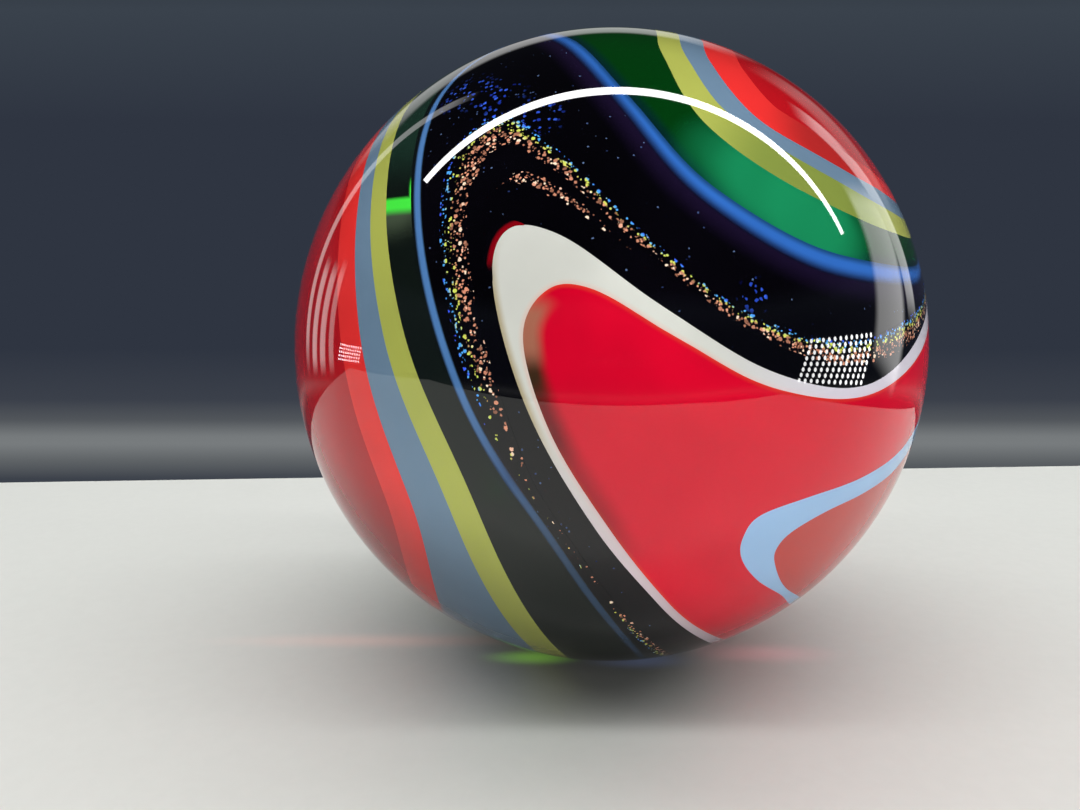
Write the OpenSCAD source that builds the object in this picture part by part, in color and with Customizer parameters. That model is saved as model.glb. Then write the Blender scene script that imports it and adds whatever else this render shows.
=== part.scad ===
// Glass marble: a dark ball with bands of coloured glass melted in flush with its surface.
// Every band is a closed loop. The loops lie inside one another round a ruby tongue,
// and each one bends back on itself at the front of the ball and again at the back.

/* [Ball] */
// Diameter of the finished marble
marble_d = 50; // [25:1:76]
// Depth to which the coloured glass is let into the dark ball
inlay_depth = 4; // [2:0.5:8]
// Depth of the glitter strips in the dark glass
glitter_depth = 0.6; // [0.3:0.1:1.5]

/* [Bands] */
// Greatest width of the blue line
blue_w = 1.6; // [0.8:0.1:1.8]
// Greatest width of the olive band
olive_w = 2.6; // [1.5:0.1:2.8]
// Greatest width of the red stripe
red_stripe_w = 2.8; // [1.2:0.1:3]
// Greatest width of the long glitter strip
glitter_w = 6; // [3:0.2:7]
// Greatest width of the short glitter strip
short_glitter_w = 1.2; // [0.6:0.1:1.5]
// Greatest width of the ruby sliver outside the white bend
sliver_w = 0.7; // [0.4:0.1:1]

/* [Smoothness] */
// Straight steps between two stations of a border
steps = 5; // [4:1:8]

/* [Hidden] */

ball_r = marble_d / 2;
// Where the edges of a band's cutting block lie, as shares of the ball's radius
block_out = 1.5;
block_in = 0.4;
// How far the pocket for the ruby sliver reaches under the white band
sliver_lap = 0.5;
// Turn of the ball about its upright axis, in degrees
seam_turn = 8;
$fn = 256;

// Border lines, each as 20 stations [longitude, latitude] round its loop, in degrees.
// Longitude 0 faces the front (-Y) and grows to the right; latitude grows upwards.
// Station 0 is the front bend, 10 the back bend; 1 to 9 run down the right leg,
// and 11 to 19 come back up the left leg.
TONGUE_LINE = [[24, -25], [26, -22], [32, -19.5], [40, -18], [50, -16], [63, -12], [85, -6],
    [110, -1], [135, 1], [155, -1], [164, -8], [155, -17], [135, -23], [112, -29], [88, -36],
    [67, -42], [53, -44], [41, -39.5], [31, -34], [25.5, -28.5]];
LIGHT_BLUE_LINE = [[17, -22], [19, -18.5], [27, -16.5], [38, -15], [50, -12.5], [63, -8],
    [85, -2], [110, 4], [137, 6], [160, 2], [171, -8], [161, -20], [138, -28], [112, -34],
    [86, -41], [63, -47], [46, -44], [33, -37], [23, -31], [18, -26]];
RED_LINE = [[-11.5, 12], [-5.5, 12], [5, 6], [18, -0.5], [35, -2.5], [54, 3], [76, 13],
    [101, 22], [130, 25], [162, 20], [-172, 6], [-177, -14], [178, -36], [168, -57],
    [105, -71], [38, -56], [9, -36], [-3, -20], [-11, -6], [-14.5, 6]];
WHITE_LINE = [[-17.5, 20], [-10, 19], [3, 10], [18, 1.5], [35, -1], [54, 6], [76, 16],
    [101, 25], [131, 28.5], [166, 23.5], [-166, 7], [-171, -15], [-176, -38], [176, -60],
    [105, -75], [36, -58], [7, -36], [-5, -20], [-14, -3], [-19, 13]];
BLACK_LINE = [[-42, 66.5], [-21, 60], [-3, 40.5], [9, 24], [28, 14], [57, 13], [79, 22],
    [103, 33], [136, 38], [174, 35], [-150, 18], [-146, -6], [-150, -33], [-165, -60],
    [100, -82], [8, -54], [-9, -25], [-22, -2], [-32.5, 23.5], [-42, 47]];
GREEN_LINE = [[-110, 78], [22, 76], [9.5, 54], [12, 37], [25, 26.5], [45, 21], [68, 22],
    [95, 36], [138, 47], [-168, 44], [-134, 23], [-127, -2], [-122, -30], [-118, -58],
    [-70, -76], [-15, -60], [-22, -19], [-32, 5.5], [-42.5, 28], [-75, 60]];
GREY_LINE = [[-138, 75], [48, 73.5], [21.5, 53], [22, 40], [30.5, 33.5], [46, 28.5], [66, 27.5],
    [91, 41], [136, 54], [-162, 52], [-124, 28], [-116, 0], [-106, -28], [-86, -47],
    [-62, -53], [-42, -42], [-34, -21], [-40, 2], [-49, 25], [-84, 56]];

// Share of the greatest width at every second station, from the front bend round
BLUE_SWELL = [0.8, 0.65, 0.9, 0.65, 0.7, 1, 0.65, 0.5, 0.4, 0.5];
OLIVE_SWELL = [0.65, 0.6, 0.9, 0.5, 0.65, 0.9, 0.9, 1, 0.75, 0.55];
RED_SWELL = [0.7, 0.85, 0.85, 0.45, 0.65, 1, 0.9, 0.85, 0.85, 0.7];
GLITTER_SWELL = [0.45, 0.2, 0.28, 0.24, 0.3, 0.45, 0.5, 0.24, 0.3, 0.95];
// Where the glitter strip's middle runs between the white and the blue, 0 to 1
GLITTER_PLACE = [0.34, 0.25, 0.3, 0.4, 0.5, 0.5, 0.5, 0.6, 0.86, 0.54];
// Where the short glitter strip runs between them
SHORT_GLITTER_PLACE = [0.155];
// Stations between which the short glitter strip and the ruby sliver run, 20 being the
// front bend again. Both swell from nothing at one end and back to nothing at the other.
SHORT_GLITTER = [19.8, 21.8];
SLIVER = [19, 20.4];

// ---- Lines on the ball ----

function unit(v) = v / norm(v);

function on_ball(place) =
    [sin(place[0]) * cos(place[1]), -cos(place[0]) * cos(place[1]), sin(place[1])];

// Smooth curve through the four values a to d, at share t of the way from b to c
function smooth(a, b, c, d, t) =
    (2 * b + (c - a) * t + (2 * a - 5 * b + 4 * c - d) * t * t
    + (3 * b - a - 3 * c + d) * t * t * t) / 2;

// Value at position s on a closed row of values, one unit from each to the next
function along(row, s) =
    let (n = len(row), k = floor(s), t = s - k)
    smooth(row[(k + n - 1) % n], row[(k + n) % n], row[(k + 1) % n], row[(k + 2) % n], t);

// Directions along a border, from station a to station b
function line_part(stations, a, b, count) =
    let (rays = [for (place = stations) on_ball(place)], n = len(stations))
    [for (i = [0:count - 1]) unit(along(rays, (a + (b - a) * i / count + n) % n))];

function loop_line(stations) =
    line_part(stations, 0, len(stations), steps * len(stations));

// Point i of a closed line, moved outwards over the ball by a distance
function moved(line, i, distance) =
    let (n = len(line),
        ahead = line[(i + 1) % n] - line[(i + n - 1) % n],
        outwards = unit(cross(line[i % n], ahead)),
        angle = distance / ball_r * 180 / PI)
    line[i % n] * cos(angle) + outwards * sin(angle);

// The whole line moved outwards by width * swell
function beside(line, width, swell) =
    [for (i = [0:len(line) - 1])
        moved(line, i, width * max(along(swell, i * len(swell) / len(line)), 0.1))];

// The point at share t of the way from ray p to ray q, over the ball
function between(p, q, t) = unit(p * (1 - t) + q * t);

tongue_edge = loop_line(TONGUE_LINE);
light_blue_edge = loop_line(LIGHT_BLUE_LINE);
red_edge = loop_line(RED_LINE);
white_edge = loop_line(WHITE_LINE);
black_edge = loop_line(BLACK_LINE);
blue_edge = beside(black_edge, blue_w, BLUE_SWELL);
green_edge = loop_line(GREEN_LINE);
olive_edge = beside(green_edge, olive_w, OLIVE_SWELL);
grey_edge = loop_line(GREY_LINE);
red_stripe_edge = beside(grey_edge, red_stripe_w, RED_SWELL);
samples = len(black_edge);

// Point i of a line through the dark glass: places holds its shares of the way from the
// white band to the blue line, and shift moves it further towards the blue line
function in_dark(places, i, shift) =
    let (p = white_edge[i % samples], q = black_edge[i % samples],
        gap = acos(p * q) * PI / 180 * ball_r)
    between(p, q, along(places, i * len(places) / samples % len(places)) + shift / gap);

function glitter_side(side) =
    [for (i = [0:samples - 1])
        in_dark(GLITTER_PLACE, i, side * glitter_w / 2 *
            along(GLITTER_SWELL, i * len(GLITTER_SWELL) / samples))];

// Width, as a share, at point i of a strip that swells from nothing between two points
function taper(i, first, last) = sin(180 * (i - first) / (last - first));

function short_glitter_outline() =
    let (first = round(SHORT_GLITTER[0] * steps), last = round(SHORT_GLITTER[1] * steps))
    concat([for (i = [last:-1:first])
            in_dark(SHORT_GLITTER_PLACE, i, -short_glitter_w / 2 * taper(i, first, last))],
        [for (i = [first + 1:last - 1])
            in_dark(SHORT_GLITTER_PLACE, i, short_glitter_w / 2 * taper(i, first, last))]);

// Outline of the sliver, reaching under the white band by a lap. Without a lap its two
// lines meet in a point at either end, and share it.
function sliver_outline(lap) =
    let (first = round(SLIVER[0] * steps), last = round(SLIVER[1] * steps),
        ends = lap > 0 ? 0 : 1)
    concat([for (i = [last:-1:first]) moved(white_edge, i, -lap)],
        [for (i = [first + ends:last - ends])
            moved(white_edge, i, sliver_w * taper(i, first, last))]);

// ---- Blocks that cut the bands out of the ball ----

// Ring-shaped block between two closed lines. Its walls point at the ball's centre,
// so that neighbours meet face to face.
module ring_block(inner, outer) {
    n = len(inner);
    corners = [for (i = [0:n - 1])
        each [inner[i] * block_in, inner[i] * block_out, outer[i] * block_out,
            outer[i] * block_in] * ball_r];
    faces = [for (i = [0:n - 1], k = [0:3])
        let (a = 4 * i + k, b = 4 * i + (k + 1) % 4,
            c = 4 * ((i + 1) % n) + (k + 1) % 4, d = 4 * ((i + 1) % n) + k)
        each [[a, b, c], [a, c, d]]];
    polyhedron(corners, faces);
}

// Block inside one closed outline of an even count. Lid and floor are ladders whose rungs
// join the two ways round the outline from its point number `first`.
module field_block(outline, first) {
    n = len(outline);
    corners = [for (ray = outline) each [ray * block_in, ray * block_out] * ball_r];
    walls = [for (i = [0:n - 1])
        let (j = (i + 1) % n)
        each [[2 * i, 2 * j + 1, 2 * i + 1], [2 * i, 2 * j, 2 * j + 1]]];
    lid = [for (i = [0:n / 2 - 1])
        let (p = (first + i) % n, p_next = (p + 1) % n,
            q = (first - i + n) % n, q_next = (q + n - 1) % n)
        each [if (i > 0) [q, p, p_next], if (i < n / 2 - 1) [q, p_next, q_next]]];
    outer_faces = [for (f = lid) [2 * f[0] + 1, 2 * f[1] + 1, 2 * f[2] + 1]];
    inner_faces = [for (f = lid) [2 * f[2], 2 * f[1], 2 * f[0]]];
    polyhedron(corners, concat(walls, outer_faces, inner_faces));
}

// A ball about the middle, turned so that the line where its surface closes on itself
// crosses the bands between their corners
module ball(r) {
    rotate([0, 0, seam_turn]) sphere(r = r);
}

// The part of the block given as a child that lies outside the ball's core, under a skin
// of that depth: the room that is cut out for an inlay
module pocket(depth) {
    difference() {
        children();
        ball(ball_r - depth);
    }
}

// The part of the ball's skin, depth thick, that lies in the block given as a child
module skin(depth = inlay_depth) {
    intersection() {
        ball(ball_r);
        pocket(depth) children();
    }
}

// ---- Sub-parts ----

module ruby_tongue() {
    color("indianred")
    skin() field_block(tongue_edge, 0);
}

module light_blue_band() {
    color("lightskyblue")
    skin() ring_block(tongue_edge, light_blue_edge);
}

module red_field() {
    color("crimson")
    skin() ring_block(light_blue_edge, red_edge);
}

module white_band() {
    color("ivory")
    skin() ring_block(red_edge, white_edge);
}

module blue_line() {
    color("royalblue")
    skin() ring_block(black_edge, blue_edge);
}

module green_band() {
    color("darkgreen")
    skin() ring_block(blue_edge, green_edge);
}

module olive_band() {
    color("darkkhaki")
    skin() ring_block(green_edge, olive_edge);
}

module grey_blue_band() {
    color("lightslategray")
    skin() ring_block(olive_edge, grey_edge);
}

module red_stripe() {
    color("tomato")
    skin() ring_block(grey_edge, red_stripe_edge);
}

module ruby_field() {
    color("maroon")
    // All that lies outside the red stripe, so its outline runs the other way round
    skin() field_block([for (i = [samples:-1:1]) red_stripe_edge[i % samples]],
        round(15.5 * steps));
}

module glitter_block() {
    ring_block(glitter_side(-1), glitter_side(1));
}

module short_glitter_block() {
    field_block(short_glitter_outline(), 0);
}

module sliver_block(lap = 0) {
    field_block(sliver_outline(lap), 0);
}

module glitter_strip() {
    color("peru")
    skin(glitter_depth) glitter_block();
}

module short_glitter_strip() {
    color("sienna")
    skin(glitter_depth) short_glitter_block();
}

module ruby_sliver() {
    color("darkred")
    skin(glitter_depth) sliver_block();
}

// The ball itself: its black glass shows between the white band and the blue line,
// and lies under all the rest
module dark_ball() {
    color("#15121a")
    difference() {
        union() {
            ball(ball_r - inlay_depth);
            intersection() {
                ball(ball_r);
                ring_block(white_edge, black_edge);
            }
        }
        pocket(glitter_depth) {
            glitter_block();
            short_glitter_block();
            sliver_block(sliver_lap);
        }
    }
}

dark_ball();
ruby_tongue();
light_blue_band();
red_field();
white_band();
ruby_sliver();
blue_line();
green_band();
olive_band();
grey_blue_band();
red_stripe();
ruby_field();
glitter_strip();
short_glitter_strip();
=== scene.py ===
"""Glass marble: bands of coloured glass round a black ball, with glitter strips in the black.

Every band lies between two closed border lines. The lines are read from the frame's solids,
smoothed, and bridged into a shell of glass, so neighbouring bands share their border exactly.
"""

import functools
import math

import bmesh
import bpy
import numpy as np
from mathutils import Matrix, Vector


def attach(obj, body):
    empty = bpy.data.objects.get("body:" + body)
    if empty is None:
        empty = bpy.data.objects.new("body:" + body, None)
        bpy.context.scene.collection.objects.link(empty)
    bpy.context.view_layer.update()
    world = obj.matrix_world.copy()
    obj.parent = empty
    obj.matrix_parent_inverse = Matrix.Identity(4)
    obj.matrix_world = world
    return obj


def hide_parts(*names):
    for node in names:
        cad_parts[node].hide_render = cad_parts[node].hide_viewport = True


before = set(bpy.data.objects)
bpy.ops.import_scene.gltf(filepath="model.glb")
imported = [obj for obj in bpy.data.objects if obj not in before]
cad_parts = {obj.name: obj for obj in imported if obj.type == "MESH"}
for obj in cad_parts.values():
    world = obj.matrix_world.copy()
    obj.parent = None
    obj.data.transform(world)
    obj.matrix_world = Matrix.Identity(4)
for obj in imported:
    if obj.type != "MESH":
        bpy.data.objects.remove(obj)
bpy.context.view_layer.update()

bl_info = {
    "name": "Glass Marble",
    "version": (1, 0, 0),
    "blender": (4, 5, 0),
    "location": "View3D > Sidebar > Marble",
    "description": "Builds a swirled glass marble and a table to show it on",
    "category": "Add Mesh",
}

BALL_RADIUS = max(v.co.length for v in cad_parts["dark_ball"].data.vertices)
MM_PER_M = 1000

# A face counts as part of the ball's skin if it lies this far out, as a share of the radius,
# and faces outwards at least this much
SKIN = 0.999
OUTWARDS = 0.7
# The least turn that makes a point of a border a corner
LEAST_TURN = math.radians(0.05)
SMOOTHING_ROUNDS = 3

# The bands from the ruby tongue outwards to the black glass, and from the ruby field inwards
INNER_BANDS = ["ruby_tongue", "light_blue_band", "red_field", "white_band"]
OUTER_BANDS = [
    "ruby_field", "red_stripe", "grey_blue_band", "olive_band", "green_band", "blue_line",
]
# Which line each band starts and ends on, its material slot, and how many rows it has across
BANDS = {
    "light_blue_band": ("tongue", "light_blue", "light_blue_glass", 8),
    "red_field": ("light_blue", "red", "red_glass", 40),
    "white_band": ("red", "white", "white_glass", 10),
    "blue_line": ("black", "blue", "blue_glass", 6),
    "green_band": ("blue", "green", "green_glass", 24),
    "olive_band": ("green", "olive", "olive_glass", 8),
    "grey_blue_band": ("olive", "grey", "grey_blue_glass", 20),
    "red_stripe": ("grey", "red_stripe", "bright_red_glass", 8),
}
FIELDS = {
    "ruby_tongue": ("tongue", "rose_glass", 24),
    "ruby_field": ("red_stripe", "ruby_glass", 48),
}


# ---- Sizes and colours a user would change ----


def srgb(red, green, blue):
    """A colour given as 0 to 255, in the linear values that materials use."""
    share = [c / 255 for c in (red, green, blue)]
    return tuple(c / 12.92 if c <= 0.04045 else ((c + 0.055) / 1.055) ** 2.4 for c in share)


def glass_colour(name, description, value):
    return bpy.props.FloatVectorProperty(
        name=name, description=description, subtype="COLOR", size=3, min=0, max=1,
        default=srgb(*value),
    )


class MarbleSizes(bpy.types.PropertyGroup):
    inlay_depth: bpy.props.FloatProperty(
        name="Inlay depth", description="Depth of the coloured glass in the ball",
        default=0.004, min=0.002, max=0.008, unit="LENGTH", subtype="DISTANCE",
    )
    glitter_depth: bpy.props.FloatProperty(
        name="Glitter depth", description="Thickness of the glitter strips",
        default=0.0006, min=0.0003, max=0.0015, unit="LENGTH", subtype="DISTANCE",
    )
    glitter_rise: bpy.props.FloatProperty(
        name="Glitter rise", description="How far the glitter stands above the black glass",
        default=0.00001, min=0.000005, max=0.0001, unit="LENGTH", subtype="DISTANCE",
        precision=6,
    )
    line_points: bpy.props.IntProperty(
        name="Line points", description="Points round each border line",
        default=400, min=200, max=600,
    )


class MarbleColours(bpy.types.PropertyGroup):
    ruby_tongue: glass_colour("Ruby tongue", "Glass of the innermost field", (196, 66, 60))
    light_blue_band: glass_colour("Light blue band", "Band round the tongue", (158, 196, 236))
    red_field: glass_colour("Red field", "Wide red loop", (220, 3, 42))
    white_band: glass_colour("White band", "Border of the red field", (218, 219, 211))
    ruby_sliver: glass_colour("Ruby sliver", "Crescent outside the white bend", (136, 4, 18))
    dark_ball: glass_colour("Black glass", "The ball itself", (4, 3, 7))
    blue_line: glass_colour("Blue line", "Line round the black", (48, 104, 188))
    green_band: glass_colour("Green band", "Band between blue and olive", (2, 54, 12))
    emerald: glass_colour("Emerald", "Where light glows in the green", (24, 138, 88))
    olive_band: glass_colour("Olive band", "Band outside the green", (172, 178, 84))
    grey_blue_band: glass_colour("Grey blue band", "Band outside the olive", (106, 132, 156))
    red_stripe: glass_colour("Red stripe", "Stripe outside the grey blue", (232, 50, 48))
    ruby_field: glass_colour("Ruby field", "Glass at the back of the ball", (184, 18, 28))
    copper: glass_colour("Copper flakes", "Warm flakes of the glitter", (252, 170, 136))
    gold: glass_colour("Gold flakes", "Yellow flakes of the glitter", (214, 224, 96))
    cyan: glass_colour("Cyan flakes", "Cold flakes of the glitter", (84, 172, 246))


class MarbleStage(bpy.types.PropertyGroup):
    floor: glass_colour("Table", "Colour of the table top", (228, 230, 225))
    backdrop: glass_colour("Backdrop", "Colour behind the table", (47, 53, 65))
    lamp_strength: bpy.props.FloatProperty(
        name="Tube lamps", description="Power of the two long lamps over the table",
        default=22.0, min=0, max=60, unit="POWER",
    )
    front_strength: bpy.props.FloatProperty(
        name="Front light", description="Power of the low lamp in front of the ball",
        default=2.3, min=0, max=20, unit="POWER",
    )
    daylight: bpy.props.FloatProperty(
        name="Surrounding light", description="Strength of the light from all round",
        default=0.17, min=0, max=2,
    )


# ---- Border lines ----


def on_ball(points, radius=BALL_RADIUS):
    return points / np.linalg.norm(points, axis=-1, keepdims=True) * radius


def rim_loops(node):
    """The closed lines round the outer face of a node's solid, each as a row of points."""
    solid = bmesh.new()
    solid.from_mesh(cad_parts[node].data)
    bmesh.ops.remove_doubles(solid, verts=solid.verts, dist=1e-6)
    solid.normal_update()
    skin = set()
    for face in solid.faces:
        outermost = min(v.co.length for v in face.verts) > BALL_RADIUS * SKIN
        if outermost and face.normal.dot(face.verts[0].co.normalized()) > OUTWARDS:
            skin.add(face)
    # A dictionary keeps its order, so each run starts every loop at the same point
    rim = {e: None for e in solid.edges if sum(f in skin for f in e.link_faces) == 1}
    loops = []
    while rim:
        edge = rim.popitem()[0]
        row, vert = [edge.verts[0]], edge.verts[1]
        while vert is not row[0]:
            row.append(vert)
            edge = next(e for e in vert.link_edges if e in rim)
            del rim[edge]
            vert = edge.other_vert(vert)
        loops.append(np.array([v.co for v in row]))
    solid.free()
    return loops


def corners(loop):
    """The points of a line at which it turns. Between two of them it is a straight arc."""
    ray = loop / np.linalg.norm(loop, axis=1)[:, None]
    before = np.cross(np.roll(ray, 1, axis=0), ray)
    after = np.cross(ray, np.roll(ray, -1, axis=0))
    before /= np.linalg.norm(before, axis=1)[:, None]
    after /= np.linalg.norm(after, axis=1)[:, None]
    turn = np.linalg.norm(np.cross(before, after), axis=1)
    return loop[turn > math.sin(LEAST_TURN)]


def smooth_line(loop, count):
    """The line through a loop's corners as a smooth closed curve of that many points."""
    line = corners(loop)
    # Each round puts a point between every two, from the four points nearest to it
    for _ in range(SMOOTHING_ROUNDS):
        wide = np.roll(line, 1, axis=0) + np.roll(line, -2, axis=0)
        middle = (9 * (line + np.roll(line, -1, axis=0)) - wide) / 16
        line = np.stack([line, middle], axis=1).reshape(-1, 3)
    place = np.arange(count) * len(line) / count
    closed = np.vstack([line, line[:1]])
    at = np.arange(len(closed))
    return on_ball(np.stack([np.interp(place, at, closed[:, k]) for k in range(3)], axis=1))


def matched(line, to):
    """The line started and turned so that its points lie opposite those of another line."""
    best = None
    for row in (line, line[::-1]):
        for k in range(len(row)):
            turned = np.roll(row, -k, axis=0)
            far = ((turned - to) ** 2).sum()
            if best is None or far < best[0]:
                best = (far, turned)
    return best[1]


def nearer(loops, line):
    """Of a band's two loops, the one along a known line, and the other."""
    # Every eighth point is enough to tell
    step = line[::8]
    far = [np.linalg.norm(step[:, None] - loop[None], axis=2).min(axis=1).mean() for loop in loops]
    first = int(far[0] > far[1])
    return loops[first], loops[1 - first]


def follow(names, bands, count):
    """The lines on which neighbouring bands end, from a field inside one line outwards."""
    known = smooth_line(rim_loops(bands[0])[0], count)
    lines = {names[0]: known}
    for name, band in zip(names[1:], bands[1:]):
        known = matched(smooth_line(nearer(rim_loops(band), known)[1], count), known)
        lines[name] = known
    return lines


@functools.cache
def border_lines(count):
    """Every border line by name, all with the same count of points, matched in pairs."""
    lines = follow(["tongue", "light_blue", "red", "white"], INNER_BANDS, count)
    names = ["red_stripe", "grey", "olive", "green", "blue", "black"]
    outer = follow(names, OUTER_BANDS, count)
    # The outer lines are turned together, so that the black line lies opposite the white
    last = lines["white"]
    for name in reversed(names):
        last = matched(outer[name], last)
        lines[name] = last
    return lines


# ---- Making the shells of glass ----


def select_only(piece):
    bpy.ops.object.select_all(action="DESELECT")
    piece.select_set(True)
    bpy.context.view_layer.objects.active = piece


def new_piece(name, points, faces):
    """An object of its own, with those points and faces."""
    mesh = bpy.data.meshes.new(name)
    mesh.from_pydata([tuple(p) for p in points], [], faces)
    mesh.validate()
    piece = bpy.data.objects.new(name, mesh)
    bpy.context.scene.collection.objects.link(piece)
    select_only(piece)
    return piece


def modify(piece, kind, **settings):
    """A modifier with those settings, applied."""
    select_only(piece)
    modifier = piece.modifiers.new(kind.title(), kind)
    for name, value in settings.items():
        setattr(modifier, name, value)
    bpy.ops.object.modifier_apply(modifier=modifier.name)


def cut_rungs(piece, rungs, cuts):
    """Cuts the edges that run across a band, each into that many parts plus one."""
    select_only(piece)
    bpy.ops.object.mode_set(mode="EDIT")
    bpy.ops.mesh.select_mode(type="EDGE")
    bpy.ops.mesh.select_all(action="DESELECT")
    mesh = bmesh.from_edit_mesh(piece.data)
    for edge in mesh.edges:
        edge.select = tuple(sorted(v.index for v in edge.verts)) in rungs
    bmesh.update_edit_mesh(piece.data)
    bpy.ops.mesh.subdivide_edgering(number_cuts=cuts, interpolation="LINEAR", smoothness=0)
    bpy.ops.object.mode_set(mode="OBJECT")


def band_sheet(name, inner, outer, rows):
    """The face of a band: a ladder between two closed lines, cut into rows along it."""
    n = len(inner)
    faces = [(i, (i + 1) % n, n + (i + 1) % n, n + i) for i in range(n)]
    piece = new_piece(name, np.vstack([inner, outer]), faces)
    cut_rungs(piece, {(i, n + i) for i in range(n)}, rows - 1)
    return piece


def fold_of(outline):
    """The point at which an outline folds best onto itself, by the length of its rungs."""
    n = len(outline)
    i = np.arange(1, n // 2)
    length = [
        np.linalg.norm(outline[(k + i) % n] - outline[(k - i) % n], axis=1).sum()
        for k in range(n // 2)
    ]
    return int(np.argmin(length))


def field_sheet(name, outline, rows):
    """The face of a field inside one closed line: a ladder between its two halves."""
    n = len(outline)
    line = np.roll(outline, -fold_of(outline), axis=0)
    half = n // 2
    faces = [(0, 1, n - 1), (half, n - half + 1, half - 1)]
    faces += [(i, i + 1, n - i - 1, n - i) for i in range(1, half - 1)]
    piece = new_piece(name, line, faces)
    cut_rungs(piece, {(i, n - i) for i in range(1, half)}, rows - 1)
    return piece


def on_radius(piece, radius):
    """Pushes the sheet out to the ball's surface, with its faces outwards."""
    modify(piece, "CAST", cast_type="SPHERE", factor=1, size=radius, use_radius_as_size=False)
    if sum(p.normal.dot(p.center) * p.area for p in piece.data.polygons) < 0:
        piece.data.flip_normals()


def shell(piece, depth, radius=BALL_RADIUS):
    """Gives the sheet its thickness, straight towards the middle of the ball."""
    on_radius(piece, radius)
    share = (radius - depth) / radius
    select_only(piece)
    bpy.ops.object.mode_set(mode="EDIT")
    bpy.ops.mesh.select_all(action="SELECT")
    bpy.ops.mesh.extrude_region_move()
    bpy.ops.transform.resize(value=(share, share, share), center_override=(0, 0, 0))
    bpy.ops.mesh.select_all(action="SELECT")
    bpy.ops.mesh.normals_make_consistent(inside=False)
    bpy.ops.object.mode_set(mode="OBJECT")
    round_shine(piece)


def round_shine(piece):
    """Every point of the outer face reflects as a point of a true ball does."""
    select_only(piece)
    bpy.ops.object.shade_smooth()
    mesh = piece.data
    normals = [v.co.normalized() for v in mesh.vertices]
    shine = []
    for face in mesh.polygons:
        outer = face.normal.dot(face.center.normalized()) > OUTWARDS
        for k in face.loop_indices:
            vert = mesh.loops[k].vertex_index
            shine.append(normals[vert] if outer else face.normal.copy())
    mesh.normals_split_custom_set(shine)


def distance_to(points, line):
    """How far each point lies from a line, in millimetres."""
    dense = np.vstack([line + (np.roll(line, -1, axis=0) - line) * t for t in (0, 0.5)])
    # About 500 points at a time, which keeps the table of distances small
    near = [np.linalg.norm(part[:, None] - dense[None], axis=2).min(axis=1)
            for part in np.array_split(points, max(1, len(points) // 500))]
    return np.concatenate(near) * MM_PER_M


def mark(piece, name, values):
    """Stores one number at each point, for the piece's material to read."""
    attribute = piece.data.attributes.new(name, "FLOAT", "POINT")
    attribute.data.foreach_set("value", np.asarray(values, np.float32))


def places(piece):
    """A piece's points, as rows of three numbers."""
    flat = np.empty(len(piece.data.vertices) * 3)
    piece.data.vertices.foreach_get("co", flat)
    return flat.reshape(-1, 3)


def mark_edges(piece, inner, outer):
    """Stores how far each point of a band lies from its two lines."""
    points = on_ball(places(piece))
    mark(piece, "from_inner", distance_to(points, inner))
    mark(piece, "from_outer", distance_to(points, outer))


def finish_piece(piece, node, material):
    """Puts the piece in place of a node of the frame, in its material slot."""
    piece.data.materials.clear()
    piece.data.materials.append(material)
    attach(piece, "root")
    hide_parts(node)


# ---- Materials ----

# Painted shade low on the ball: the colour is darkened and the gloss turned down there, in place of
# the ball's own shadow and of the shadowed table it would reflect: the two heights, and the values
# at them
PAINTED_SHADE_GLOSS = (-0.0165, -0.0075, 0.12, 0.5)
PAINTED_SHADE_COLOUR = (-0.021, -0.011, 0.45, 1.0)
# How much sooner the painted shade darkens the colour for each metre to the left
LEFT_SOONER = 0.35


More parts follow.
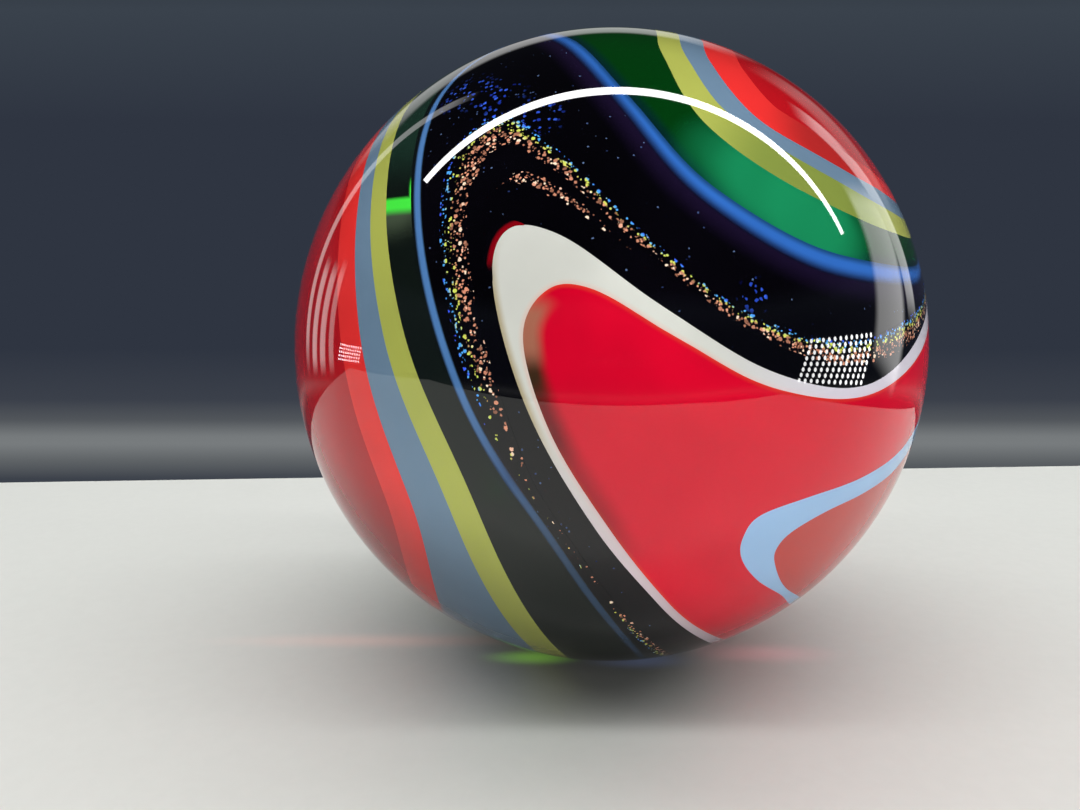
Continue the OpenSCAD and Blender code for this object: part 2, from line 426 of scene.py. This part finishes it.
class Nodes:
    """A few short calls for writing the nodes of a material or of the world."""

    def __init__(self, owner):
        owner.use_nodes = True
        self.owner = owner
        self.tree = owner.node_tree
        self.shader = self.tree.nodes.get("Principled BSDF")

    def fill(self, node, inputs):
        """Gives a node's inputs their values or links."""
        for name, value in inputs.items():
            if isinstance(value, bpy.types.NodeSocket):
                self.tree.links.new(value, node.inputs[name])
            else:
                node.inputs[name].default_value = value

    def add(self, kind, inputs=None, **settings):
        node = self.tree.nodes.new(kind)
        for name, value in settings.items():
            setattr(node, name, value)
        self.fill(node, inputs or {})
        return node

    def attribute(self, name):
        return self.add("ShaderNodeAttribute", attribute_name=name).outputs["Fac"]

    def coords(self, kind="Object"):
        return self.add("ShaderNodeTexCoord").outputs[kind]

    def axis(self, name):
        return self.add("ShaderNodeSeparateXYZ", {0: self.coords()}).outputs[name]

    def noise(self, scale, detail, distortion=0.0):
        inputs = {"Vector": self.coords(), "Scale": scale, "Detail": detail}
        inputs["Distortion"] = distortion
        return self.add("ShaderNodeTexNoise", inputs).outputs["Fac"]

    def ramp(self, value, low, high, from_value=0.0, to_value=1.0):
        """Smooth step of a value between two limits."""
        inputs = {0: value, 1: low, 2: high, 3: from_value, 4: to_value}
        return self.add(
            "ShaderNodeMapRange", inputs, interpolation_type="SMOOTHSTEP", clamp=True
        ).outputs[0]

    def fade(self, value, full, none):
        """1 where a value is below the first limit, falling smoothly to 0 at the second."""
        return self.ramp(value, full, none, 1.0, 0.0)

    def math(self, kind, a, b=0.0):
        return self.add("ShaderNodeMath", {0: a, 1: b}, operation=kind).outputs[0]

    def times(self, a, b):
        return self.math("MULTIPLY", a, b)

    def vector(self, kind, a, b=(0, 0, 0), scale=1.0, output="Vector"):
        inputs = {0: a, 1: b, 3: scale}
        return self.add("ShaderNodeVectorMath", inputs, operation=kind).outputs[output]

    def mix(self, share, a, b):
        a, b = (v if isinstance(v, bpy.types.NodeSocket) else (*v, 1.0) for v in (a, b))
        inputs = {"Factor": share, 6: a, 7: b}
        return self.add("ShaderNodeMix", inputs, data_type="RGBA").outputs[2]

    def stained(self, base, mask, share, colour):
        """The base with that share of a colour mixed in where the mask is 1."""
        return self.mix(self.times(mask, share), base, colour)

    def glass(self, base):
        """Clear gloss over a colour, with painted shade low down: there the colour is darkened and
        the gloss turned down, in place of the ball's own shadow.
        """
        height = self.axis("Z")
        left = self.math("MINIMUM", self.axis("X"), 0.0)
        low = self.math("ADD", height, self.times(left, LEFT_SOONER))
        # Painted shade: darker colour and weaker gloss low on the ball, sooner on the left
        self.fill(self.shader, {
            "Base Color": self.vector("SCALE", base, scale=self.ramp(low, *PAINTED_SHADE_COLOUR)),
            "Specular IOR Level": self.ramp(height, *PAINTED_SHADE_GLOSS),
            "Roughness": 0.02,
            "IOR": 1.55,
        })


def tint(colour, factor):
    return tuple(min(1.0, c * factor) for c in colour)


def streaked_glass(name, colour, dark=0.88, light=1.07):
    """Plain coloured glass with soft drawn-out streaks of its own colour."""
    nodes = Nodes(bpy.data.materials.new(name))
    share = nodes.ramp(nodes.noise(70, detail=3, distortion=0.4), 0.3, 0.7)
    return nodes, nodes.mix(share, tint(colour, dark), tint(colour, light))


def colour_of(name):
    return tuple(getattr(bpy.context.scene.marble_colours, name))


def place_on_ball(longitude, latitude):
    """The point at that longitude, from the front to the right, and that latitude."""
    turn, rise = math.radians(longitude), math.radians(latitude)
    across = math.cos(rise)
    return Vector((math.sin(turn) * across, -math.cos(turn) * across, math.sin(rise))) * BALL_RADIUS


def patch(nodes, place, full, none):
    """1 within the first distance of a place on the ball, in millimetres, 0 past the second."""
    away = nodes.vector("DISTANCE", nodes.coords(), place_on_ball(*place), output="Value")
    return nodes.fade(away, full / MM_PER_M, none / MM_PER_M)


def on_left_leg(nodes):
    """1 where a band runs down the left of the ball or low on it, 0 elsewhere."""
    left = nodes.fade(nodes.axis("X"), -0.0095, -0.0045)
    low = nodes.fade(nodes.axis("Z"), -0.008, -0.003)
    return nodes.math("MAXIMUM", left, low)


def red_looks(nodes, base):
    """A thin orange rim along the white, and brown, dark and pale patches beside the white in the
    left of the bend.
    """
    edge = nodes.attribute("from_outer")
    base = nodes.stained(base, nodes.fade(edge, 0.05, 0.3), 0.45, srgb(226, 70, 40))
    # Place of each patch, its reach and width in millimetres, its share and its colour
    brown_patches = [
        ((-8.5, -12.0), (3.0, 8.5), (0.1, 1.5), 0.55, (96, 6, 14)),
        ((-12.2, -4.5), (1.0, 4.0), (0.1, 1.3), 0.75, (84, 10, 14)),
        ((-14.0, 1.8), (0.6, 2.8), (0.4, 1.3), 0.95, (44, 40, 22)),
        ((-13.4, 6.8), (0.8, 2.4), (0.5, 1.35), 0.95, (166, 106, 84)),
    ]
    for place, reach, width, share, colour in brown_patches:
        mask = nodes.times(patch(nodes, place, *reach), nodes.fade(edge, *width))
        base = nodes.stained(base, mask, share, srgb(*colour))
    return base


def white_looks(nodes, base):
    """A blush along the red, a straw-coloured edge on the left leg, and mauve further on."""
    blush = nodes.fade(nodes.attribute("from_inner"), 0.0, 0.35)
    base = nodes.stained(base, blush, 0.4, srgb(232, 176, 158))
    low = nodes.fade(nodes.axis("Z"), -0.014, 0.001)
    base = nodes.stained(base, low, 0.7, srgb(206, 178, 194))
    right = nodes.ramp(nodes.axis("X"), 0.003, 0.013)
    base = nodes.stained(base, right, 0.6, srgb(222, 212, 236))
    edge = nodes.fade(nodes.attribute("from_outer"), 0.02, 0.5)
    straw = nodes.times(edge, patch(nodes, (-17.5, 3.0), 3.0, 7.5))
    return nodes.stained(base, straw, 0.75, srgb(168, 148, 96))


def blue_looks(nodes, base):
    """A thin clear line on the left; on the right it fades into the black."""
    edge = nodes.attribute("from_inner")
    line = nodes.times(nodes.ramp(edge, 0.02, 0.2), nodes.fade(edge, 0.42, 0.66))
    high = nodes.ramp(nodes.axis("Z"), -0.012, 0.004)
    clear = nodes.mix(high, srgb(44, 66, 92), srgb(80, 126, 184))
    thin = nodes.mix(line, srgb(14, 20, 21), clear)
    wide = nodes.mix(nodes.ramp(edge, 0.0, 0.8), srgb(16, 12, 36), base)
    far = nodes.fade(nodes.attribute("from_outer"), 0.0, 0.45)
    wide = nodes.stained(wide, far, 0.7, srgb(8, 44, 62))
    return nodes.mix(on_left_leg(nodes), wide, thin)


def green_looks(nodes, base):
    """Almost black down the left, with one painted glint of light; on the right a painted emerald
    glow of light through the green.
    """
    soft = nodes.fade(nodes.attribute("from_inner"), 0.0, 0.9)
    base = nodes.stained(base, soft, 0.7, srgb(4, 24, 44))
    # Place of each painted glow of light through the green, its full reach and its end in
    # millimetres, and its share
    glows = [
        ((13.5, 31.5), (0.6, 3.4), 0.4), ((20.0, 27.0), (1.6, 4.4), 0.85),
        ((26.5, 22.5), (2.2, 4.0), 0.9), ((31.5, 20.0), (1.0, 3.6), 0.7),
    ]
    # Painted light: the emerald glow where light shines through the green
    for place, reach, share in glows:
        base = nodes.stained(base, patch(nodes, place, *reach), share, colour_of("emerald"))
    high = nodes.ramp(nodes.axis("Z"), 0.011, 0.015)
    dark = nodes.mix(high, srgb(15, 22, 19), srgb(26, 50, 40))
    return glint(nodes, nodes.mix(on_left_leg(nodes), base, dark))


def glint(nodes, base):
    """A painted glint of light over the band's width, drawn out upwards on one side, with a faint
    painted glow below.
    """
    place, height = (-38.7, 24.9), nodes.axis("Z")
    # Faint painted glow of light under the glint
    faint = nodes.times(nodes.ramp(height, 0.0072, 0.0098), nodes.fade(height, 0.0102, 0.0108))
    faint = nodes.times(faint, patch(nodes, place, 1.0, 4.0))
    base = nodes.stained(base, faint, 0.3, srgb(120, 140, 110))
    # The glint itself: painted light in a bright green
    bright = nodes.fade(height, 0.0106, 0.0109)
    side = nodes.times(nodes.fade(nodes.attribute("from_inner"), 0.08, 0.2),
                       nodes.fade(height, 0.0112, 0.0122))
    lit = nodes.times(nodes.math("MAXIMUM", bright, side), nodes.ramp(height, 0.0096, 0.0102))
    return nodes.mix(nodes.times(lit, patch(nodes, place, 2.0, 2.3)), base, srgb(72, 236, 70))


def olive_looks(nodes, base):
    """Darker and greener where it runs across the right."""
    return nodes.stained(base, patch(nodes, (30.0, 26.0), 3.5, 9.5), 0.85, srgb(122, 140, 62))


def stripe_looks(nodes, base):
    """Darker towards its end on the right."""
    return nodes.stained(base, patch(nodes, (38.0, 34.0), 1.5, 5.5), 0.8, srgb(164, 38, 38))


def sliver_looks(nodes, base):
    """Thinning out into the black, away from the white and towards its low end."""
    thin = nodes.ramp(nodes.attribute("from_white"), 0.2, 0.42)
    low = nodes.fade(nodes.attribute("along"), 0.2, 0.45)
    return nodes.mix(nodes.math("MAXIMUM", thin, low), base, colour_of("dark_ball"))


LOOKS = {
    "red_field": red_looks,
    "white_band": white_looks,
    "blue_line": blue_looks,
    "green_band": green_looks,
    "olive_band": olive_looks,
    "red_stripe": stripe_looks,
    "ruby_sliver": sliver_looks,
}


def glass_material(node):
    """The glass of a band, a field or the sliver, with its own looks if it has any."""
    nodes, base = streaked_glass(node.replace("_band", "") + "_glass", colour_of(node))
    if node in LOOKS:
        base = LOOKS[node](nodes, base)
    nodes.glass(base)
    return nodes.owner


def flakes(nodes, size, share):
    """Mask of single flakes of about that size in millimetres, lying in that share of
    places, with a random number of its own for each flake."""
    # A fine noise shifts the places that are looked up, which makes each outline ragged
    ragged = nodes.add("ShaderNodeTexNoise", {"Vector": nodes.coords(), "Scale": 2600 / size})
    shift = nodes.vector("SUBTRACT", ragged.outputs["Color"], (0.5, 0.5, 0.5))
    shift = nodes.vector("SCALE", shift, scale=0.0005 * size)
    place = nodes.vector("ADD", nodes.coords(), shift)
    cells = nodes.add("ShaderNodeTexVoronoi", {"Vector": place, "Scale": MM_PER_M / size})
    parts = nodes.add("ShaderNodeSeparateColor", {"Color": cells.outputs["Color"]})
    chosen = nodes.math("LESS_THAN", parts.outputs["Red"], share)
    inside = nodes.fade(cells.outputs["Distance"], 0.36, 0.46)
    return nodes.times(chosen, inside), parts.outputs["Green"]


def black_material():
    """Black glass, with a purple halo beside the blue line and a few stray flakes."""
    nodes, base = streaked_glass("black_glass", colour_of("dark_ball"), 0.6, 1.4)
    right = nodes.math("SUBTRACT", 1.0, on_left_leg(nodes))
    halo = nodes.times(nodes.fade(nodes.attribute("from_outer"), 0.0, 1.5), right)
    base = nodes.stained(base, halo, 0.8, srgb(26, 16, 44))
    stray, luck = flakes(nodes, 0.15, 0.01)
    base = nodes.mix(stray, base, nodes.mix(luck, srgb(16, 30, 80), srgb(96, 120, 160)))
    cold, luck = flakes(nodes, 0.3, 0.4)
    blue = nodes.mix(luck, srgb(14, 26, 120), srgb(66, 112, 250))
    # Places where cold flakes lie together, and how far they reach in millimetres
    clusters = [
        ((-34.5, 45.0), 2.4), ((-26.0, 43.0), 2.4), ((-16.0, 38.0), 2.2), ((15.5, 11.3), 1.2),
    ]
    for place, reach in clusters:
        base = nodes.mix(nodes.times(cold, patch(nodes, place, 0.5, reach)), base, blue)
    nodes.glass(base)
    return nodes.owner


def glitter_material(name, warm_only):
    """Black glass full of flakes: copper inside, gold and cyan towards the outer edge."""
    nodes = Nodes(bpy.data.materials.new(name))
    base, copper = colour_of("dark_ball"), colour_of("copper")
    full, across = nodes.attribute("fullness"), nodes.attribute("across")
    # Where each colder colour starts and is whole, from 0 at the inner edge outwards
    colder = [
        (0.62, 0.76, colour_of("gold")), (0.84, 0.94, colour_of("cyan")),
        (1.02, 1.12, srgb(64, 96, 250)),
    ]
    # Size of the flakes in millimetres, and the share of places that hold one
    for size, share in ((0.18, 0.5), (0.3, 0.6)):
        mask, luck = flakes(nodes, size, nodes.times(full, share))
        metal = nodes.mix(luck, tint(copper, 0.25), copper)
        # Painted highlight: the luckiest flakes turn near white, as if they caught the light
        metal = nodes.mix(nodes.ramp(luck, 0.74, 0.92), metal, srgb(255, 228, 200))
        place = nodes.math("ADD", across, nodes.times(luck, 0.24))
        for start, whole, colour in () if warm_only else colder:
            metal = nodes.mix(nodes.ramp(place, start, whole), metal, colour)
        base = nodes.mix(mask, base, metal)
    nodes.glass(base)
    return nodes.owner


# ---- Pieces ----


class MARBLE_OT_bands(bpy.types.Operator):
    """Adds the bands of coloured glass that lie between two border lines"""

    bl_idname = "marble.bands"
    bl_label = "Add Coloured Bands"

    def execute(self, context):
        sizes = context.scene.marble_sizes
        lines = border_lines(sizes.line_points)
        for node, (inner, outer, slot, rows) in BANDS.items():
            piece = band_sheet(slot + "_band", lines[inner], lines[outer], rows)
            shell(piece, sizes.inlay_depth)
            mark_edges(piece, lines[inner], lines[outer])
            finish_piece(piece, node, glass_material(node))
        return {"FINISHED"}


class MARBLE_OT_fields(bpy.types.Operator):
    """Adds the ruby tongue and the ruby field, which lie inside one border line each"""

    bl_idname = "marble.fields"
    bl_label = "Add Ruby Fields"

    def execute(self, context):
        sizes = context.scene.marble_sizes
        lines = border_lines(sizes.line_points)
        for node, (outline, slot, rows) in FIELDS.items():
            piece = field_sheet(slot + "_field", lines[outline], rows)
            shell(piece, sizes.inlay_depth)
            finish_piece(piece, node, glass_material(node))
        return {"FINISHED"}


class MARBLE_OT_black_glass(bpy.types.Operator):
    """Adds the black glass: the ring that shows, and the ball under all the bands"""

    bl_idname = "marble.black_glass"
    bl_label = "Add Black Glass"

    ROWS = 40
    CORE_SUBDIVISIONS = 5

    def execute(self, context):
        sizes = context.scene.marble_sizes
        lines = border_lines(sizes.line_points)
        piece = band_sheet("black_glass_ball", lines["white"], lines["black"], self.ROWS)
        shell(piece, sizes.inlay_depth)
        mark_edges(piece, lines["white"], lines["black"])
        bpy.ops.mesh.primitive_ico_sphere_add(
            subdivisions=self.CORE_SUBDIVISIONS, radius=BALL_RADIUS - sizes.inlay_depth
        )
        bpy.ops.object.shade_smooth()
        piece.select_set(True)
        context.view_layer.objects.active = piece
        bpy.ops.object.join()
        finish_piece(piece, "dark_ball", black_material())
        return {"FINISHED"}


class MARBLE_OT_glitter(bpy.types.Operator):
    """Adds the two glitter strips and the ruby sliver that lie in the black glass"""

    bl_idname = "marble.glitter"
    bl_label = "Add Glitter Strips"

    STRIP_ROWS = 12
    SMALL_ROWS = 6
    SMALL_POINTS = 80
    # The distance in millimetres over which the short strip's flakes thin out at its edge
    SPARSE_EDGE = 0.3

    def execute(self, context):
        sizes = context.scene.marble_sizes
        white = border_lines(sizes.line_points)["white"]
        self.long_strip(sizes, white)
        node, slot = "short_glitter_strip", "copper_glitter_glass"
        piece, outline = self.small_strip(node, slot, sizes)
        mark(piece, "fullness", distance_to(places(piece), outline) / self.SPARSE_EDGE)
        finish_piece(piece, node, glitter_material(slot, True))
        node, slot = "ruby_sliver", "dark_ruby_glass"
        piece, outline = self.small_strip(node, slot, sizes)
        mark(piece, "from_white", distance_to(on_ball(places(piece)), white))
        height = places(piece)[:, 2]
        mark(piece, "along", (height - height.min()) / (height.max() - height.min()))
        finish_piece(piece, node, glass_material(node))
        return {"FINISHED"}

    def long_strip(self, sizes, white):
        sides = [smooth_line(loop, sizes.line_points) for loop in rim_loops("glitter_strip")]
        inside, outside = nearer(sides, white)
        inside = matched(inside, white)
        outside = matched(outside, inside)
        piece = band_sheet("glitter_strip_flakes", inside, outside, self.STRIP_ROWS)
        shell(piece, sizes.glitter_depth, BALL_RADIUS + sizes.glitter_rise)
        self.mark_glitter(piece, inside, outside)
        material = glitter_material("glitter_glass", False)
        finish_piece(piece, "glitter_strip", material)

    def small_strip(self, node, slot, sizes):
        outline = smooth_line(rim_loops(node)[0], self.SMALL_POINTS)
        piece = field_sheet(slot + "_strip", outline, self.SMALL_ROWS)
        shell(piece, sizes.glitter_depth, BALL_RADIUS + sizes.glitter_rise)
        return piece, outline

    def mark_glitter(self, piece, inside, outside):
        """Stores how full of flakes the long strip is, and the place across it."""
        points = on_ball(places(piece))
        near, far = distance_to(points, inside), distance_to(points, outside)
        across = near / (near + far)
        mark(piece, "across", across)
        # The flakes thin out over a quarter of a millimetre at both edges
        fullness = np.clip(np.minimum(near, far) / 0.25, 0.3, 1)
        height = points[:, 2] / BALL_RADIUS
        # Down the left the flakes thin out, and a black gap parts the cold from the warm
        low = np.clip(0.2 + (height + 0.08) * 6, 0.2, 1)
        gap = 1 - 0.85 * np.exp(-((across - 0.72) / 0.06) ** 2)
        mark(piece, "fullness", fullness * np.where(points[:, 0] < 0, low * gap, 1))


# ---- Table, backdrop and lamps ----


def facing(back, along):
    """The turn of a flat thing that faces away from its back, with its X in that direction."""
    back = Vector(back).normalized()
    across = back.cross(Vector(along)).normalized()
    return Matrix((across.cross(back), across, back)).transposed().to_4x4()


class MARBLE_OT_stage(bpy.types.Operator):
    """Adds the table, the dark backdrop, the lamps and the camera"""

    bl_idname = "marble.stage"
    bl_label = "Add Table And Lamps"

    # The table top's corners in radii of the ball, its thickness and its rounded edge
    TABLE = [(-14, 1.6), (-9, -5.2), (1.7, -5.2), (5.4, -4.4), (4.7, 2.9)]
    TABLE_THICKNESS = 0.02
    TABLE_EDGE = 0.001
    # Coloured light that the ball throws on the table: middle and reach in radii, colour
    THROWN = [
        ((-0.85, -0.07), (0.65, 0.08), (96, 50, 40)),
        ((-0.24, -0.2), (0.2, 0.07), (66, 112, 8)),
        ((0.12, -0.22), (0.22, 0.08), (30, 40, 66)),
        ((0.56, -0.17), (0.3, 0.1), (96, 40, 50)),
    ]
    # Shade of the backdrop at some heights, as the rise over the distance to a far wall.
    # Where there is none, the backdrop has its own colour
    SHADES = [
        (-0.235, (60, 65, 74)), (-0.21, (96, 100, 103)), (-0.19, (120, 124, 126)),
        (-0.18, (118, 122, 124)), (-0.16, (82, 86, 91)), (-0.134, (59, 64, 74)),
        (-0.07, None), (0.2, None), (0.325, (58, 66, 76)), (0.46, (20, 22, 26)),
    ]
    NEAREST_WALL = 0.75
    # Panels that only the gloss shows: the directions of their two ends from the ball, width
    # in degrees, brightness, where 1 is white, and the share of their size that fades out
    PANELS = {
        "right_blind": ((0.757, 0.434, 0.488), (0.985, 0.156, -0.12), 20, 1.8, 0.35),
        "right_frame": ((0.555, 0.511, 0.656), (0.853, 0.521, 0.019), 9, 1.4, 0.35),
        "right_wall": ((0.35, 0.75, 0.56), (0.78, 0.56, 0.28), 18, 0.3, 0.6),
        "left_edge": ((-0.378, 0.439, 0.815), (-0.755, 0.645, -0.12), 4.5, 1.1, 0.3),
        "left_slat_1": ((-0.80, 0.55, 0.26), (-0.831, 0.552, -0.12), 5, 1.5, 0.4),
        "left_slat_2": ((-0.86, 0.45, 0.28), (-0.885, 0.45, -0.12), 5, 1.7, 0.4),
        "left_slat_3": ((-0.88, 0.36, 0.31), (-0.936, 0.347, -0.12), 4, 1.3, 0.4),
        "high_wall": ((-0.55, 0.72, 0.42), (0.35, 0.80, 0.49), 17, 0.6, 0.5),
    }
    PANEL_DISTANCE = 1.4
    # The tube lamps: middle, length and width, and whether the ball mirrors them
    TUBES = {
        "tube_lamp": ((0.50, 0.125, 1.0), (3.1, 0.066), True),
        "front_tube_lamp": ((0.1, -0.42, 0.9), (3.0, 0.12), False),
    }
    # The low lamp in front of the ball: middle, length and width
    FRONT_LAMP = ((0.12, -0.72, 0.02), (0.5, 0.06))
    # The bulb lamps: middle, direction of the rows, bulbs in a row, rows, the steps between
    # them, and a bulb's radius
    BULBS = {
        "right_bulbs": ((1.34, -0.31, -0.012), (0.215, 0.969, -0.04), 12, 8, (0.06, 0.036), 0.014),
        "left_bulbs": ((-1.38, 0.23, -0.03), (0.16, 0.98, 0.0), 10, 5, (0.031, 0.02), 0.006),
    }
    BULB_BRIGHTNESS = 16
    # The camera's place in radii of the ball, how far it looks down, and its lens
    EYE = (-0.2114, -2.7497, 0.2049)
    PITCH = math.radians(8)
    LENS = 27.03

    def execute(self, context):
        stage = context.scene.marble_stage
        self.table(stage)
        self.surroundings(stage)
        self.lamps(stage)
        self.camera(context)
        context.scene.view_settings.view_transform = "Standard"
        return {"FINISHED"}

    def table(self, stage):
        corners = [(x * BALL_RADIUS, y * BALL_RADIUS, -BALL_RADIUS) for x, y in self.TABLE]
        piece = new_piece("table_top", corners, [tuple(range(len(corners)))])
        modify(piece, "SOLIDIFY", thickness=self.TABLE_THICKNESS, offset=-1)
        modify(piece, "BEVEL", width=self.TABLE_EDGE, segments=3)
        nodes = Nodes(bpy.data.materials.new("table_laminate"))
        grain = nodes.ramp(nodes.noise(900, detail=3), 0.3, 0.7)
        patches = nodes.ramp(nodes.noise(14, detail=2), 0.3, 0.7)
        base = nodes.mix(nodes.times(grain, 0.4), tint(stage.floor, 0.95), stage.floor)
        nodes.fill(nodes.shader, {
            "Base Color": nodes.stained(base, patches, 0.35, tint(stage.floor, 0.9)),
            "Emission Color": self.thrown_light(nodes),
            "Emission Strength": 1,
            "Roughness": 0.5,
            "IOR": 1.4,
        })
        piece.data.materials.append(nodes.owner)

    def thrown_light(self, nodes):
        light = (0, 0, 0)
        for (x, y), reach, colour in self.THROWN:
            middle = (x * BALL_RADIUS, y * BALL_RADIUS, -BALL_RADIUS)
            sizes = (reach[0] * BALL_RADIUS, reach[1] * BALL_RADIUS, 1)
            away = nodes.vector("SUBTRACT", nodes.coords(), middle)
            away = nodes.vector("DIVIDE", away, sizes)
            away = nodes.vector("LENGTH", away, output="Value")
            light = nodes.mix(nodes.fade(away, 0.0, 1.0), light, srgb(*colour))
        return light

    def surroundings(self, stage):
        """Even light from all round, and a dark backdrop where it is seen or reflected."""
        world = bpy.data.worlds.new("studio")
        bpy.context.scene.world = world
        nodes = Nodes(world)
        nodes.tree.nodes.clear()
        path = nodes.add("ShaderNodeLightPath")
        seen = path.outputs["Is Camera Ray"]
        for name in ("Is Glossy Ray", "Is Transmission Ray"):
            seen = nodes.math("MAXIMUM", seen, path.outputs[name])
        way = nodes.add("ShaderNodeSeparateXYZ", {0: nodes.coords("Generated")})
        wall = nodes.math("MAXIMUM", nodes.math("ABSOLUTE", way.outputs["Y"]), self.NEAREST_WALL)
        rise = nodes.math("DIVIDE", way.outputs["Z"], wall)
        lowest, highest = self.SHADES[0][0], self.SHADES[-1][0]
        height = nodes.add("ShaderNodeMapRange", {0: rise, 1: lowest, 2: highest})
        shade = nodes.add("ShaderNodeValToRGB", {0: height.outputs[0]})
        stops = shade.color_ramp.elements
        stops.remove(stops[0])
        for i, (level, colour) in enumerate(self.SHADES):
            place = (level - lowest) / (highest - lowest)
            stop = stops[0] if i == 0 else stops.new(place)
            stop.position = place
            stop.color = (*(stage.backdrop if colour is None else srgb(*colour)), 1)
        dark = nodes.add("ShaderNodeBackground", {"Color": shade.outputs[0]})
        light = nodes.add("ShaderNodeBackground",
                          {"Color": (1, 1, 1, 1), "Strength": stage.daylight})
        mixed = nodes.add("ShaderNodeMixShader",
                          {0: seen, 1: light.outputs[0], 2: dark.outputs[0]})
        nodes.add("ShaderNodeOutputWorld", {0: mixed.outputs[0]})

    def lamps(self, stage):
        power = stage.lamp_strength / len(self.TUBES)
        for name, (place, size, mirrored) in self.TUBES.items():
            self.lamp(name, place, size, power, (0, 0, 1), mirrored)
        place, size = self.FRONT_LAMP
        self.lamp("front_lamp", place, size, stage.front_strength, place, False)
        for name, settings in self.PANELS.items():
            self.panel(name + "_panel", *settings)
        for name, settings in self.BULBS.items():
            self.bulbs(name, *settings)

    def lamp(self, name, place, size, power, back, mirrored):
        """A flat lamp, long from left to right, that faces away from its back."""
        data = bpy.data.lights.new(name, "AREA")
        data.shape = "RECTANGLE"
        data.size, data.size_y = size
        data.energy = power
        lamp = bpy.data.objects.new(name, data)
        lamp.matrix_world = facing(back, (1, 0, 0))
        lamp.location = place
        lamp.visible_camera = False
        lamp.visible_glossy = mirrored
        bpy.context.scene.collection.objects.link(lamp)

    def panel(self, name, first, last, width, brightness, fade):
        """A bright panel with soft edges."""
        first, last = Vector(first).normalized(), Vector(last).normalized()
        sizes = [2 * self.PANEL_DISTANCE * math.tan(angle / 2)
                 for angle in (first.angle(last), math.radians(width))]
        bpy.ops.mesh.primitive_plane_add(size=1)
        panel = bpy.context.active_object
        panel.data.transform(Matrix.Diagonal((*sizes, 1, 1)))
        nodes = self.glow(name + "_light", brightness)
        across = nodes.add("ShaderNodeSeparateXYZ", {0: nodes.coords("UV")})
        shown = 1.0
        for axis in ("X", "Y"):
            off = nodes.math("ABSOLUTE", nodes.math("SUBTRACT", across.outputs[axis], 0.5))
            shown = nodes.times(nodes.fade(off, 0.5 - fade / 2, 0.5), shown)
        nodes.fill(nodes.shader, {"Alpha": shown})
        middle = (first + last).normalized() * self.PANEL_DISTANCE
        self.hang(panel, name, nodes, middle, last - first)

    def bulbs(self, name, place, along, count, rows, steps, radius):
        """Rows of small bulbs, each row set off a little from the one before."""
        bpy.ops.mesh.primitive_circle_add(vertices=12, radius=radius, fill_type="NGON")
        bulbs = bpy.context.active_object
        for number, step in ((count, (steps[0], 0, 0)), (rows, (steps[0] / 4, steps[1], 0))):
            modify(bulbs, "ARRAY", count=number, use_relative_offset=False,
                   use_constant_offset=True, constant_offset_displace=step)
        middle = (bulbs.data.vertices[0].co + bulbs.data.vertices[-1].co) / 2
        bulbs.data.transform(Matrix.Translation(-middle))
        nodes = self.glow(name + "_light", self.BULB_BRIGHTNESS)
        self.hang(bulbs, name, nodes, place, along)

    def glow(self, name, brightness):
        """A material that only shines."""
        nodes = Nodes(bpy.data.materials.new(name))
        nodes.fill(nodes.shader, {
            "Base Color": (0, 0, 0, 1),
            "Emission Color": (1, 1, 1, 1),
            "Emission Strength": brightness,
        })
        return nodes

    def hang(self, piece, name, nodes, place, along):
        """Moves a flat piece's points out to a place, facing the ball, its X that way. Only
        the gloss shows it."""
        piece.name = name
        piece.data.materials.append(nodes.owner)
        piece.data.transform(Matrix.Translation(place) @ facing(place, along))
        piece.visible_camera = piece.visible_diffuse = piece.visible_shadow = False

    def camera(self, context):
        data = bpy.data.cameras.new("camera")
        data.lens = self.LENS
        data.sensor_width = 36
        data.sensor_fit = "HORIZONTAL"
        data.clip_start = 0.001
        camera = bpy.data.objects.new("camera", data)
        camera.location = [c * BALL_RADIUS for c in self.EYE]
        camera.rotation_euler = (math.pi / 2 - self.PITCH, 0, 0)
        context.scene.collection.objects.link(camera)
        context.scene.camera = camera


class MARBLE_PT_panel(bpy.types.Panel):
    bl_idname = "MARBLE_PT_panel"
    bl_label = "Glass Marble"
    bl_space_type = "VIEW_3D"
    bl_region_type = "UI"
    bl_category = "Marble"

    def draw(self, context):
        for group in SETTINGS:
            settings = getattr(context.scene, group)
            for name in settings.__annotations__:
                self.layout.prop(settings, name)
        for operator in OPERATORS:
            self.layout.operator(operator.bl_idname)


SETTINGS = {
    "marble_sizes": MarbleSizes, "marble_colours": MarbleColours, "marble_stage": MarbleStage,
}
OPERATORS = [
    MARBLE_OT_bands, MARBLE_OT_fields, MARBLE_OT_black_glass, MARBLE_OT_glitter, MARBLE_OT_stage,
]
CLASSES = [*SETTINGS.values(), *OPERATORS, MARBLE_PT_panel]


def register():
    for cls in CLASSES:
        bpy.utils.register_class(cls)
    for name, group in SETTINGS.items():
        setattr(bpy.types.Scene, name, bpy.props.PointerProperty(type=group))


def unregister():
    for name in SETTINGS:
        delattr(bpy.types.Scene, name)
    for cls in reversed(CLASSES):
        bpy.utils.unregister_class(cls)


def main():
    register()
    bpy.ops.object.select_all(action="DESELECT")
    bpy.ops.marble.bands()
    bpy.ops.marble.fields()
    bpy.ops.marble.black_glass()
    bpy.ops.marble.glitter()
    bpy.ops.marble.stage()


if __name__ == "__main__":
    main()
